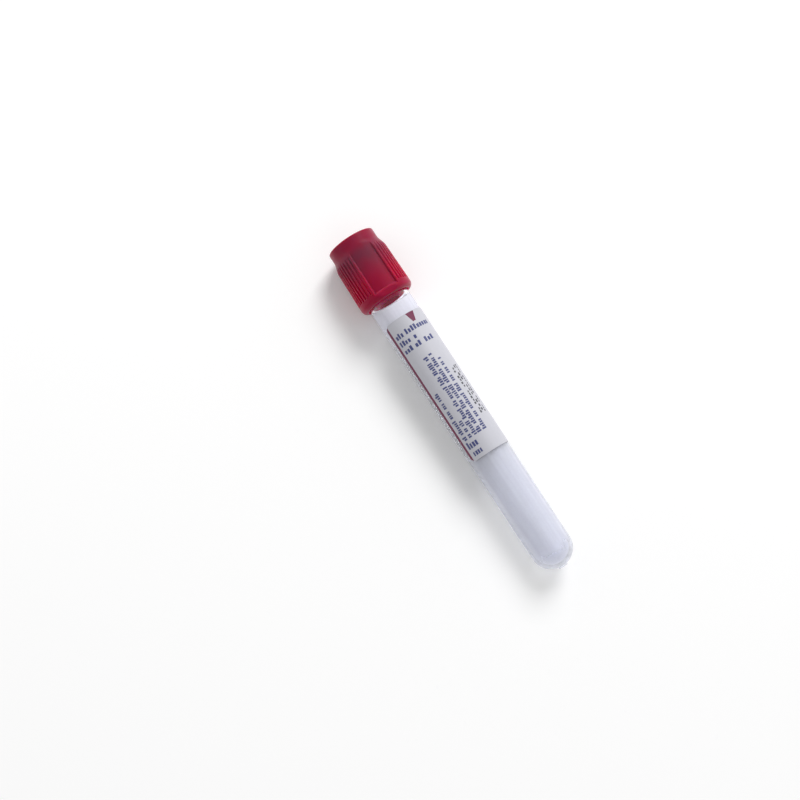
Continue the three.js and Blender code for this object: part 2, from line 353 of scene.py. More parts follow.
def give_faces(piece, chosen, material):
    """A second material for the faces of a turned object whose corners, by row and column, are all chosen."""
    chosen = np.concatenate((chosen[1:-1].ravel(), chosen[[0, -1], 0]))
    corners = np.empty(len(piece.data.loops), int)
    piece.data.loops.foreach_get("vertex_index", corners)
    starts = np.empty(len(piece.data.polygons), int)
    piece.data.polygons.foreach_get("loop_start", starts)
    piece.data.materials.append(material)
    indexes = np.logical_and.reduceat(chosen[corners], starts)
    piece.data.polygons.foreach_set("material_index", indexes.astype(np.int32))


# ---------------------------------------------------------------- materials

# Kinds of ray by which a thing is seen: straight, in a reflection or through clear plastic.
LOOKED_AT = "Is Camera Ray", "Is Glossy Ray", "Is Transmission Ray"


def add_node(tree, kind, inputs=None, **settings):
    """A shader node with its settings, and its inputs as values or as the sockets that feed them."""
    node = tree.nodes.new(kind)
    for name, value in settings.items():
        setattr(node, name, value)
    for name, value in (inputs or {}).items():
        if isinstance(value, bpy.types.NodeSocket):
            tree.links.new(value, node.inputs[name])
        else:
            node.inputs[name].default_value = value
    return node


def new_material(name):
    """An empty node material, with its tree and output node."""
    material = bpy.data.materials.new(name)
    material.use_nodes = True
    tree = material.node_tree
    tree.nodes.clear()
    return material, tree, tree.nodes.new("ShaderNodeOutputMaterial")


def combined(tree, operation, first, second):
    """Two numbers or sockets combined by one operation."""
    return add_node(tree, "ShaderNodeMath", {0: first, 1: second}, operation=operation).outputs[0]


def shades(tree, factor, dark, light):
    """A colour between two, each a socket or red, green and blue, by a factor socket."""
    ends = [end if isinstance(end, bpy.types.NodeSocket) else (*end, 1) for end in (dark, light)]
    return add_node(tree, "ShaderNodeMix", {0: factor, 6: ends[0], 7: ends[1]}, data_type="RGBA").outputs[2]


def between(tree, factor, low, high):
    """A number between two, by a factor socket from 0 to 1."""
    inputs = {"Value": factor, "To Min": low, "To Max": high}
    return add_node(tree, "ShaderNodeMapRange", inputs).outputs[0]


def scaled(rgb, share):
    """A colour made darker or lighter."""
    return tuple(min(1.0, part * share) for part in rgb)


def noise(tree, grain_mm, stretch=(1, 1, 1), detail=3.0):
    """Noise on Object coordinates with a grain of a real size, stretched along the part's axes."""
    coordinates = add_node(tree, "ShaderNodeTexCoord")
    mapping = add_node(tree, "ShaderNodeMapping", {"Vector": coordinates.outputs["Object"], "Scale": stretch})
    inputs = {"Vector": mapping.outputs[0], "Scale": 1 / (grain_mm * MM), "Detail": detail}
    return add_node(tree, "ShaderNodeTexNoise", inputs).outputs["Fac"]


def rays(tree, *kinds):
    """1 for a ray of any of the kinds named, and 0 for every other ray."""
    path = add_node(tree, "ShaderNodeLightPath")
    found = path.outputs[kinds[0]]
    for kind in kinds[1:]:
        found = combined(tree, "MAXIMUM", found, path.outputs[kind])
    return found


def stored(tree, name):
    """The values stored at a mesh's points under a name."""
    return add_node(tree, "ShaderNodeAttribute", attribute_name=name).outputs["Fac"]


def clear_moulded_pet(tube):
    """Injection-moulded clear PET whose bore has a dried coat of clotting agent, sprayed on in the works.

    The plastic is glass-clear and glossy, with the faint waves of the mould's flow.  The coat scatters
    light and blurs what is behind it, so the tube looks milky below the plug, and its fine droplets and
    runs leave it slightly uneven.  The outside is hazed by handling; beside the plug it is painted almost
    white, as painted light that stands in for the lit table seen through the clear neck.  Part of what
    coat and haze scatter goes on inwards, which lights the tube from within.  Lamps' rays pass straight
    through, which leaves the table softly lit.
    """
    material, tree, output = new_material("clear_moulded_pet")
    coat = stored(tree, "coat")
    flow = noise(tree, 9.0, stretch=(0.25, 1, 1), detail=1.0)
    droplets = noise(tree, 0.6, detail=4.0)
    runs = noise(tree, 2.2, stretch=(0.07, 1, 1), detail=2.0)
    bump = add_node(tree, "ShaderNodeBump", {"Height": flow, "Strength": 0.04, "Distance": 0.2 * MM})
    uneven = combined(tree, "MULTIPLY", between(tree, runs, 0.7, 1.3), between(tree, droplets, 0.94, 1.06))
    scatter = combined(tree, "MULTIPLY", coat, uneven)
    milky = stored(tree, "milky")
    bore = shades(tree, milky, tube.clear_colour, tube.coat_colour)
    # Beside the plug the outside is painted near-white, as painted light for the lit table seen through.
    plastic = add_node(tree, "ShaderNodeBsdfPrincipled", {
        "Base Color": shades(tree, stored(tree, "haze"), bore, tube.neck_light_colour),
        "Roughness": between(tree, milky, 0.05, 0.3), "IOR": 1.5, "Specular IOR Level": 0.2,
        "Transmission Weight": combined(tree, "SUBTRACT", 1.0, scatter), "Normal": bump.outputs[0]})
    open_shadow = add_node(tree, "ShaderNodeBsdfTransparent", {
        "Color": shades(tree, milky, tube.clear_shade, tube.coat_shade)})
    glow = add_node(tree, "ShaderNodeBsdfTranslucent", {"Color": (*tube.coat_colour, 1)})
    inwards = combined(tree, "MULTIPLY", scatter, tube.glow_share)
    hazy = add_node(tree, "ShaderNodeMixShader", {0: inwards, 1: plastic.outputs[0], 2: glow.outputs[0]})
    mix = add_node(tree, "ShaderNodeMixShader", {
        0: rays(tree, "Is Shadow Ray"), 1: hazy.outputs[0], 2: open_shadow.outputs[0]})
    tree.links.new(mix.outputs[0], output.inputs["Surface"])
    return material


def moulded_rubber(name, base, sheen_shaded, glow_red, specular, sheen):
    """Compression-moulded butyl rubber: satin, with a fine grain.

    Near the top the colour is greyer and darker in soft patches: painted sheen and shade, which stand in
    for a veil of reflected light and for shade on the faces that look up.  The plug is painted a brighter
    red than the rest, for the light that the clear wall leads into it, and a film of silicone leaves it
    without the dusty sheen of the skin.  The grooves have some of that brighter red: painted light against
    their shade.
    """
    material, tree, output = new_material(name)
    clouds = noise(tree, 4.0, detail=3.0)
    grain = noise(tree, 0.12, detail=2.0)
    # Painted sheen and shade, in soft patches near the top.
    patchy = combined(tree, "MULTIPLY", stored(tree, "sheen_shade"), between(tree, clouds, 0.5, 1.3))
    skin = shades(tree, clouds, scaled(base, 0.9), scaled(base, 1.1))
    # The plug's painted glow, and some of it in the grooves as painted light against their shade.
    skin_and_glow = shades(tree, stored(tree, "painted_glow"), skin, glow_red)
    bump = add_node(tree, "ShaderNodeBump", {"Height": grain, "Strength": 0.15, "Distance": 0.02 * MM})
    rubber = add_node(tree, "ShaderNodeBsdfPrincipled", {
        "Base Color": shades(tree, patchy, skin_and_glow, sheen_shaded), "Roughness": between(tree, clouds, 0.36, 0.5),
        "Subsurface Weight": 1.0, "Subsurface Radius": (2.0, 0.3, 0.5), "Subsurface Scale": 1.0 * MM,
        "Specular IOR Level": specular, "Sheen Weight": sheen, "Sheen Roughness": 0.4,
        "Normal": bump.outputs[0]})
    tree.links.new(rubber.outputs[0], output.inputs["Surface"])
    return material


def coated_label_paper(base):
    """Coated label stock: pale, semi-matt, with a faint fibre mottle under the coating."""
    material, tree, output = new_material("coated_label_paper")
    fibres = noise(tree, 0.5, stretch=(0.5, 1, 1), detail=4.0)
    bump = add_node(tree, "ShaderNodeBump", {"Height": fibres, "Strength": 0.1, "Distance": 0.02 * MM})
    paper = add_node(tree, "ShaderNodeBsdfPrincipled", {
        "Base Color": shades(tree, fibres, scaled(base, 0.96), scaled(base, 1.02)),
        "Roughness": between(tree, fibres, 0.42, 0.52), "Normal": bump.outputs[0]})
    tree.links.new(paper.outputs[0], output.inputs["Surface"])
    return material


def printing_ink(name, base):
    """A film of printing ink on coated paper: thin enough for its density to vary a little."""
    material, tree, output = new_material(name)
    density = noise(tree, 0.3, detail=3.0)
    ink = add_node(tree, "ShaderNodeBsdfPrincipled", {
        "Base Color": shades(tree, density, scaled(base, 0.85), scaled(base, 1.2)),
        "Roughness": between(tree, density, 0.35, 0.5)})
    tree.links.new(ink.outputs[0], output.inputs["Surface"])
    return material


def studio_table(stage):
    """A matt white sweep: pale all over, so that it shows only the part's soft shadow.

    It glows a little where it is seen directly or in reflections, and more where it is seen through clear
    plastic, as a wide table that fills the plastic's view does.  Well away from the part it is seen as
    plain white, so that it meets the white world with no edge.
    """
    material, tree, output = new_material("matt_white_sweep")
    matt = add_node(tree, "ShaderNodeBsdfDiffuse", {"Color": (*stage.floor_colour, 1)})
    direct = combined(tree, "MULTIPLY", rays(tree, "Is Camera Ray", "Is Glossy Ray"), stage.floor_glow)
    through = combined(tree, "MULTIPLY", rays(tree, "Is Transmission Ray"), stage.glow_through)
    light = add_node(tree, "ShaderNodeEmission", {"Strength": combined(tree, "ADD", direct, through)})
    near = add_node(tree, "ShaderNodeAddShader", {0: matt.outputs[0], 1: light.outputs[0]})
    coordinates = add_node(tree, "ShaderNodeTexCoord")
    reach = add_node(tree, "ShaderNodeVectorMath", {0: coordinates.outputs["Object"]}, operation="LENGTH")
    far = add_node(tree, "ShaderNodeMapRange", {
        "Value": reach.outputs["Value"], "From Min": stage.fade_start, "From Max": stage.fade_end},
        interpolation_type="SMOOTHSTEP")
    share = combined(tree, "MULTIPLY", far.outputs[0], rays(tree, *LOOKED_AT))
    white = add_node(tree, "ShaderNodeEmission", {"Strength": 1.0})
    sweep = add_node(tree, "ShaderNodeMixShader", {0: share, 1: near.outputs[0], 2: white.outputs[0]})
    tree.links.new(sweep.outputs[0], output.inputs["Surface"])
    return material


# ---------------------------------------------------------------- tube


def outside_radius(tube, height):
    """Radius of the tube's outside at a height: a straight taper from the rim to the round end."""
    start = tube.gate_height + tube.radius - tube.draft
    share = (height - start) / (tube.length - start)
    return tube.radius - tube.draft * (1 - share)


def tube_profile(tube):
    """Radius and height along the wall's section: gate mark, outside, rim, bore and inside end."""
    end_radius = tube.radius - tube.draft
    bore = tube.radius - tube.wall
    bore_end = end_radius - tube.wall
    floor = tube.gate_height + tube.end_wall
    rim = tube.length - tube.rim_edge
    gate_angle = math.degrees(math.asin(tube.gate_radius / end_radius))
    gate_edge = tube.gate_height / 2
    gate = arc(tube.gate_radius - gate_edge, gate_edge, gate_edge, -90, 0, 5)
    outside = arc(0, tube.gate_height + end_radius, end_radius, -90 + gate_angle, 0, 48)
    onset = tube.length - tube.coat_below_rim - (tube.coat_slant + tube.coat_fade) * np.linspace(0, 1, 12)
    wall_heights = np.sort(np.append(np.linspace(outside[-1, 1], rim, 48)[1:-1], onset))
    wall = np.column_stack((outside_radius(tube, wall_heights), wall_heights))
    rim_outside = arc(tube.radius - tube.rim_edge, rim, tube.rim_edge, 0, 90, 8)
    rim_inside = arc(bore + tube.rim_edge, rim, tube.rim_edge, 90, 180, 8)
    inside = np.column_stack((wall[::-1, 0] - tube.wall, wall[::-1, 1]))
    inside_end = arc(0, floor + bore_end, bore_end, 0, -90, 48)
    inside_end[-1, 0] = 0
    return np.vstack(([0, 0], gate, outside, wall, rim_outside, rim_inside, inside, inside_end))


def build_tube(tube):
    """The clear tube: its section carried round the axis.

    Values at its points say where the bore is milky, where the outside is painted near-white beside the
    plug, as painted light for the lit table seen through the clear neck, and what share of the light coat
    or haze scatters.  The coat starts lower on the side that lies on top, and thins out towards the tip.
    """
    profile = tube_profile(tube)
    angles = np.linspace(0, 2 * math.pi, 192, endpoint=False)
    piece = turned_object("clear_tube", profile[:, :1], angles, profile[:, 1:], clear_moulded_pet(tube))
    past_rim = np.arange(len(profile)) > profile[:, 1].argmax()
    below_rim = tube.length - profile[:, 1:]
    start = tube.coat_below_rim + tube.coat_slant * np.clip(np.cos(angles), 0, None)
    below_plug = smoothstep(start, start + tube.coat_fade, below_rim)
    neck = 1 - smoothstep(start, start + tube.neck_length, below_rim)
    # Beside the plug the haze thickens, as painted light for the lit table seen through the neck.
    haze = tube.haze_share + (tube.neck_light_share - tube.haze_share) * neck
    off_tip = tube.tip_share + (1 - tube.tip_share) * smoothstep(0, 2 * tube.radius, profile[:, 1:])
    add_values(piece, "milky", past_rim[:, None] * below_plug)
    add_values(piece, "haze", ~past_rim[:, None] * neck * below_plug)
    add_values(piece, "coat", np.where(past_rim[:, None], tube.coat_share, haze) * below_plug * off_tip)
    return piece


# ---------------------------------------------------------------- stopper


def rib_columns(stopper, count):
    """Angles round the stopper, closer together where the ribs and panels turn.

    The wanted density of columns is summed round the turn and inverted, so that equal steps of the
    sum give the angles.
    """
    fine = np.linspace(0, 2 * math.pi, 24000, endpoint=False)
    edge = np.abs(groove_place(stopper, fine)[1])
    panel_edge = np.abs(panel_place(fine) - stopper.panel_angle / 2)
    near = np.minimum(edge, panel_edge) * stopper.band_radius
    density = 1 + 3 * (1 - smoothstep(stopper.soft_edge, 3 * stopper.soft_edge, near))
    total = np.concatenate(([0], np.cumsum(density)))
    return np.interp(np.linspace(0, total[-1], count, endpoint=False), total, np.append(fine, 2 * math.pi))


def panel_place(angles):
    """Angle from the middle of the nearest panel, of which there are two, half a turn apart."""
    return np.abs((angles + math.pi / 2) % math.pi - math.pi / 2)


def groove_place(stopper, angles):
    """Where an angle lies among the grooves: -1 to 1 across its groove, and how deep inside it, in radians.

    The second value is negative on the ribs and on the panels.
    """
    first = stopper.panel_angle / 2 + stopper.border_angle
    group = math.pi - 2 * first
    groove = (group - stopper.ribs * stopper.rib_angle) / (stopper.ribs + 1)
    pitch = groove + stopper.rib_angle
    along = angles % math.pi - first
    index = np.clip(np.round((along - groove / 2) / pitch), 0, stopper.ribs)
    offset = along - groove / 2 - index * pitch
    return np.clip(offset / (groove / 2), -1, 1), groove / 2 - np.abs(offset)


def stopper_rows(stopper, tube):
    """Radius, height and kind of each row of the stopper's section, from the plug's hollow to the well.

    Kinds are 0 for a row with its own radius, 1 for the outside and 2 for the skirt's rounded end, where
    the first column is how far the rounding has drawn in.
    """
    rim, top = tube.length, tube.length + stopper.above_rim
    skirt = rim - stopper.overlap
    plug = tube.radius - tube.wall + stopper.plug_squeeze
    plug_end = rim - stopper.plug_length
    roof = top - stopper.well_depth - stopper.septum
    groove_end = rim + stopper.rim_clearance
    socket = tube.radius + stopper.skirt_clearance
    recess = stopper.recess_radius
    recess_top = recess - stopper.recess_draft
    soft, fillet = stopper.soft_edge, stopper.floor_fillet
    plug_edge = stopper.plug_edge
    inside = np.vstack((
        [0, roof], [recess_top / 2, roof],
        arc(recess_top - fillet, roof - fillet, fillet, 90, 0, 6),
        [recess - soft, plug_end + 4 * soft],
        arc(recess + 2 * soft, plug_end + 2 * soft, 2 * soft, 180, 270, 5),
        arc(stopper.plug_end_radius - plug_edge, plug_end + plug_edge, plug_edge, -90, 0, 9),
        arc(plug - soft, plug_end + stopper.plug_lead, soft, -20, 0, 3),
        arc(plug + soft, groove_end - soft, soft, 180, 90, 4),
        arc(socket - soft, groove_end - soft, soft, 90, 0, 4),
        [socket, skirt + stopper.skirt_lead],
        [socket + stopper.skirt_lead * 0.1, skirt + stopper.skirt_lead * 0.6],
        [socket + stopper.skirt_lead * 0.4, skirt + stopper.skirt_lead * 0.2],
        [socket + stopper.skirt_lead, skirt],
    ))
    rounding = arc(0, skirt + stopper.band_edge, stopper.band_edge, -90, 0, 12) - (stopper.band_edge, 0)
    band_top = skirt + stopper.band_height
    ledge = band_top - stopper.ledge_height
    collar_bottom = top - stopper.collar_height
    flare_bottom = collar_bottom - stopper.flare_height
    collar, collar_edge = stopper.collar_radius, stopper.collar_edge
    heights = np.concatenate((
        np.linspace(ledge - soft, band_top + 4 * soft, 25),
        np.linspace(band_top + 8 * soft, flare_bottom - 4 * soft, 6),
        np.linspace(flare_bottom, collar_bottom, 26),
        [collar_bottom + 5 * soft, top - collar_edge - 4 * soft],
    ))
    well = stopper.well_radius
    floor = top - stopper.well_depth
    well_floor = well - stopper.well_draft
    top_rows = np.vstack((
        arc(collar - collar_edge, top - collar_edge, collar_edge, 0, 90, 7),
        [(collar + well) / 2, top],
        arc(well + stopper.well_chamfer, top - stopper.well_chamfer, stopper.well_chamfer, 90, 180, 6),
        arc(well_floor - fillet, floor + fillet, fillet, 0, -90, 6),
        [well_floor / 2, floor], [0, floor],
    ))
    return np.vstack((
        np.column_stack((inside, np.zeros(len(inside)))),
        np.column_stack((rounding, np.full(len(rounding), 2))),
        np.column_stack((np.zeros(len(heights)), heights, np.ones(len(heights)))),
        np.column_stack((top_rows, np.zeros(len(top_rows)))),
    ))


def rest_flat(angles, heights):
    """Distance from the axis of the flats on the band, the lower of which lies on the table.

    A point of the axis at a height h is (tip + h along) high over the table, and the flat is that far
    below it, measured square to the axis.
    """
    distance = (TIP[2] + heights * ALONG[2]) / TOP[2]
    return distance / np.clip(np.cos(panel_place(angles)), 0.5, 1)


def skin_radius(stopper, tube, angles, heights):
    """Radius of the stopper's outside: the turned skin, less the panels and grooves, less the rest flats.

    A panel is an arc of radius R about a line that lies a length c behind the axis, so at an angle t from
    its middle it is sqrt(R^2 - (c sin t)^2) - c cos t from the axis.  A groove's floor rises with the
    square of the way across it.  Each cut goes in softly, by the soft edge.
    """
    top = tube.length + stopper.above_rim
    skirt = tube.length - stopper.overlap
    band_top = skirt + stopper.band_height
    collar_bottom = top - stopper.collar_height
    flare_bottom = collar_bottom - stopper.flare_height
    soft = stopper.soft_edge
    flare = smoothstep(flare_bottom, collar_bottom, heights)
    body = np.interp(heights, (band_top, flare_bottom), (stopper.band_radius, stopper.rib_radius))
    skin = body + (stopper.collar_radius - body) * flare

    middle = stopper.rib_radius - stopper.panel_depth
    panel_radius = middle + (stopper.collar_radius - middle) * flare + stopper.panel_crown
    crown = stopper.panel_crown
    around = panel_place(angles)
    panel = np.sqrt(panel_radius ** 2 - (crown * np.sin(around)) ** 2) - crown * np.cos(around)
    ledge = smoothstep(band_top - stopper.ledge_height - soft, band_top + soft, heights)
    inside_panel = (stopper.panel_angle / 2 - around) * stopper.band_radius
    panel_share = smoothstep(-soft, soft, inside_panel) * ledge
    panel_cut = -soft_min(panel - skin, 0 * skin, soft) * panel_share

    across, inside_groove = groove_place(stopper, angles)
    floor = stopper.rib_radius - stopper.groove_depth + stopper.groove_floor * across ** 2
    groove_share = smoothstep(-soft, soft, inside_groove * stopper.band_radius)
    groove_share = groove_share * smoothstep(band_top - soft, band_top + soft, heights)
    groove_cut = -soft_min(floor - skin, 0 * skin, soft) * groove_share
    return soft_min(skin - panel_cut - groove_cut, rest_flat(angles, heights), 2 * soft)


def sheen_shade_share(stopper, below_top):
    """How much painted sheen and shade shows below the top: faint, then full, then thinning out."""
    rise = smoothstep(stopper.sheen_shade_rise, stopper.sheen_shade_start, below_top)
    sheen_shade = stopper.collar_sheen_shade + (1 - stopper.collar_sheen_shade) * rise
    return sheen_shade - smoothstep(stopper.sheen_shade_start, stopper.sheen_shade_end, below_top)


def build_stopper(stopper, tube):
    """The stopper: its section carried round the axis, with the skin changed by angle and height.

    Values at its points say how much painted sheen and shade the rubber has, and how much of the plug's
    painted brighter red: all of it on the plug and in the socket, and some in the grooves between the
    band and the flare, as painted light against their shade.
    """
    rows = stopper_rows(stopper, tube)
    angles = rib_columns(stopper, 640)
    across = angles[None, :]
    height, kind = rows[:, 1:2], rows[:, 2]
    radius = np.repeat(rows[:, :1], len(angles), axis=1)
    flat = rest_flat(across, height)
    radius[kind == 2] = soft_min(radius + stopper.band_radius, flat, 2 * stopper.soft_edge)[kind == 2]
    radius[kind == 1] = skin_radius(stopper, tube, across, height[kind == 1])
    colours = stopper.rubber_colour, stopper.sheen_shade_colour, stopper.plug_glow_colour
    skin = moulded_rubber("moulded_butyl_rubber", *colours, specular=0.1, sheen=0.35)
    piece = turned_object("rubber_stopper", radius, angles, height, skin)
    # Painted sheen and shade, by depth below the top.
    below_top = np.broadcast_to(tube.length + stopper.above_rim - height, radius.shape)
    add_values(piece, "sheen_shade", sheen_shade_share(stopper, below_top))
    # The plug's painted glow: all of it in the socket, some in the grooves against their shade.
    socket_mouth = tube.radius + stopper.skirt_clearance + stopper.skirt_lead + stopper.soft_edge
    in_socket = (radius < socket_mouth) & (height < tube.length)
    in_groove = smoothstep(0, 2 * stopper.soft_edge, groove_place(stopper, across)[1] * stopper.band_radius)
    over_band = height > tube.length - stopper.overlap + stopper.band_height
    flare_middle = stopper.collar_height + stopper.flare_height / 2
    under_flare = smoothstep(flare_middle, stopper.collar_height + stopper.flare_height, below_top)
    in_groove = in_groove * (kind[:, None] == 1) * over_band * under_flare
    add_values(piece, "painted_glow", np.where(in_socket, 1, stopper.groove_light * in_groove))
    give_faces(piece, in_socket, moulded_rubber("siliconed_butyl_rubber", *colours, specular=0.02, sheen=0.0))
    return piece


# ---------------------------------------------------------------- label

# Lines of print, in millimetres on the label: start, end, foot, head, pitch and longest word.  Headings
# start and end at places across the label; columns and dashes start and end at places down it.
HEADINGS = (
    (1.8, 4.7, 5.4, 3.7, 0.97, 9), (5.3, 13.8, 5.4, 3.7, 0.95, 9), (1.8, 7.6, 7.8, 6.2, 0.97, 9),
    (1.8, 4.9, 10.2, 8.6, 1.03, 9), (5.7, 12.0, 10.2, 8.6, 1.05, 9),
    (1.9, 5.6, 43.5, 41.3, 0.92, 9), (2.3, 5.6, 45.9, 44.1, 0.82, 9),
)
COLUMNS = (
    (40.7, 24.4, 3.25, 1.8, 0.68, 7), (40.7, 34.8, 4.9, 3.55, 0.68, 7), (40.7, 13.9, 6.65, 5.3, 0.68, 8),
    (40.7, 13.6, 8.2, 6.85, 0.68, 8), (40.7, 15.9, 9.9, 8.6, 0.68, 8),
)
DASHES = (
    (36.2, 19.7, 13.7, 13.1, 0.8, 9), (35.6, 19.7, 12.75, 12.1, 1.3, 4), (36.2, 20.3, 11.75, 11.1, 1.0, 7),
)


def on_label(label, tube, across, down, lift):
    """Points on the label, at lengths across from its first edge and down from its top edge.

    They are lifted off the glue.  A length across is laid off round the tube at the label's middle.
    """
    middle = tube.length - label.below_rim - label.length / 2
    height = tube.length - label.below_rim - down
    angle = label.start + across / outside_radius(tube, middle)
    return place(outside_radius(tube, height) + label.glue + lift, angle, height)


def corner_drop(label, across):
    """How far the label's round corners draw its short edges in, at places across it."""
    inset = np.clip(label.corner - np.minimum(across, label.width - across), 0, None)
    return label.corner - np.sqrt(label.corner ** 2 - inset ** 2)


def bent_sheet(label, tube, across, down, low, high):
    """Points, faces and own coordinates of a closed sheet over a grid of places on the label.

    Its back is lifted off the tube by `low` and its front by `high`, with a rim between their edges.
    """
    rows, columns = down.shape
    points = np.stack([on_label(label, tube, across, down, lift) for lift in (high, low)])
    sheet = grid_faces(rows, columns, closed=False)
    offset = rows * columns
    left = np.arange(rows) * columns
    border = np.concatenate((np.arange(columns), left[1:] + columns - 1,
                             np.arange(offset - 2, offset - columns - 1, -1), left[-2:0:-1]))
    ahead = np.roll(border, -1)
    rim = np.column_stack((border, ahead, ahead + offset, border + offset))
    coordinates = np.stack((across, down), -1).reshape(-1, 2) / label.length
    faces = np.vstack((sheet[:, ::-1], sheet + offset, rim))
    return points.reshape(-1, 3), faces, np.tile(coordinates, (2, 1))


def sheets_object(name, sheets, material):
    """One object made of several sheets."""
    starts = np.cumsum([0] + [len(points) for points, faces, coordinates in sheets])
    points = np.vstack([points for points, faces, coordinates in sheets])
    faces = np.vstack([sheet[1] + start for sheet, start in zip(sheets, starts)])
    return mesh_object(name, points, faces, material, np.vstack([sheet[2] for sheet in sheets]))


def build_label(label, tube):
    """The label: a sheet with round corners bent round the tube."""
    near = np.linspace(0, label.corner, 14)
    across = np.concatenate((near, np.linspace(label.corner, label.width - label.corner, 90)[1:-1],
                             label.width - near[::-1]))
    drop = corner_drop(label, across)
    down = drop + (label.length - 2 * drop) * np.linspace(0, 1, 24)[:, None]
    sheet = bent_sheet(label, tube, np.broadcast_to(across, down.shape), down, low=0, high=label.thickness)
    return sheets_object("paper_label", [sheet], coated_label_paper(label.paper_colour))


def ink_sheet(label, tube, across, down):
    """A film of ink over a grid of places on the label, half sunk into the paper."""
    return bent_sheet(label, tube, across, down, label.thickness - label.ink, label.thickness + label.ink)


def ink_blocks(label, tube, blocks):
    """Films of ink on rows of (first and last place across, first and last place down)."""
    sheets = []
    for first, last, top, bottom in np.sort(blocks.reshape(-1, 2, 2), axis=2).reshape(-1, 4) * MM:
        count = 2 + int((last - first) / (0.25 * MM))
        across, down = np.meshgrid(np.linspace(first, last, count), (top, bottom))
        sheets.append(ink_sheet(label, tube, across, down))
    return sheets


def line_blocks(rng, start, end, foot, head, pitch, longest):
    """First, last, foot and head, in millimetres, of blocks that stand for the letters of a line.

    The blocks stand a pitch apart, in words of 2 to `longest` of them with one left out between words.
    A block covers 0.58 to 0.8 of its pitch.  One in three is as tall as the line, and the others reach
    seven tenths of that.
    """
    count = round(abs(end - start) / pitch)
    word = np.repeat(np.arange(count), rng.integers(2, longest + 1, count) + 1)[:count]
    gap = np.append(word[1:] != word[:-1], False)
    step = (end - start) / count
    first = start + step * np.arange(count)
    last = first + step * rng.uniform(0.58, 0.8, count)
    reach = foot + (head - foot) * np.where(rng.random(count) < 0.33, 1, 0.7)
    return np.column_stack((first, last, np.full(count, foot), reach))[~gap]


def build_red_print(label, tube):
    """The stripe along the label's first edge, which ends at its round corners, and the colour tab."""
    across = label.stripe_inset + label.stripe_width * np.linspace(0, 1, 5)
    ends = corner_drop(label, across) + label.stripe_inset
    down = np.stack((ends, label.length - ends))
    stripe = ink_sheet(label, tube, np.broadcast_to(across, down.shape), down)
    share, depth = np.meshgrid(np.linspace(-1, 1, 13), np.linspace(0, 1, 7))
    half = label.tab_width / 2 + (label.tab_foot - label.tab_width) / 2 * depth
    tab_down = label.stripe_inset + label.tab_length * depth
    tab = ink_sheet(label, tube, label.tab_middle + half * share, tab_down)
    return sheets_object("red_print", [stripe, tab], printing_ink("red_ink", label.red_colour))


def build_blue_print(label, tube):
    """Blocks in place of the label's headings and of its columns of small print."""
    rng = np.random.default_rng(7)
    headings = [line_blocks(rng, *line) for line in HEADINGS]
    columns = [line_blocks(rng, *line)[:, [2, 3, 0, 1]] for line in COLUMNS]
    sheets = ink_blocks(label, tube, np.vstack(headings + columns))
    return sheets_object("blue_print", sheets, printing_ink("blue_ink", label.blue_colour))


def build_black_print(label, tube):
    """Three rows of jet-printed dashes along the tube."""
    rng = np.random.default_rng(11)
    rows = [line_blocks(rng, *row)[:, [2, 3, 0, 1]] for row in DASHES]
    return sheets_object("black_print", ink_blocks(label, tube, np.vstack(rows)),
                         printing_ink("black_ink", label.black_colour))


# ---------------------------------------------------------------- stage


def build_table(stage):
    """A wide flat table at the height that the part rests on."""
    half = 3.0
    points = np.array([(-half, -half, 0), (half, -half, 0), (half, half, 0), (-half, half, 0)])
    table = mesh_object("table", points, np.array([(0, 1, 2, 3)]), studio_table(stage))
    table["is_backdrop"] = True


def view_axes(stage):
    """Right, up and back of a camera at the stage's azimuth and elevation, rolled about its view."""
    turn, rise = stage.azimuth, stage.elevation
    back = Vector((math.sin(turn) * math.cos(rise), -math.cos(turn) * math.cos(rise), math.sin(rise)))
    level = Vector((math.cos(turn), math.sin(turn), 0))
    right = level * math.cos(stage.roll) + back.cross(level) * math.sin(stage.roll)
    return right, back.cross(right), back


def build_camera(stage):
    """A long lens over the part, which puts it right of the frame's middle."""
    data = bpy.data.cameras.new("camera")
    data.lens = stage.lens
    data.clip_end = 10
    camera = bpy.data.objects.new("camera", data)
    bpy.context.scene.collection.objects.link(camera)
    right, up, back = view_axes(stage)
    lo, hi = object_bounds()
    centre = (lo + hi) / 2
    camera.location = centre + back * stage.distance - right * stage.move_left + up * stage.move_up
    camera.rotation_euler = Matrix((right, up, back)).transposed().to_euler()
    bpy.context.scene.camera = camera


def add_softbox(name, direction, reach, size, level):
    """A square area lamp that faces the part and lights the table to a share of white."""
    toward = Vector(direction).normalized()
    data = bpy.data.lights.new(name, "AREA")
    data.shape = "SQUARE"
    data.size = size
    data.energy = level * (math.pi * reach) ** 2 / toward.z
    lamp = bpy.data.objects.new(name, data)
    bpy.context.scene.collection.objects.link(lamp)
    lamp.location = toward * reach
    lamp.rotation_euler = toward.to_track_quat("Z", "Y").to_euler()


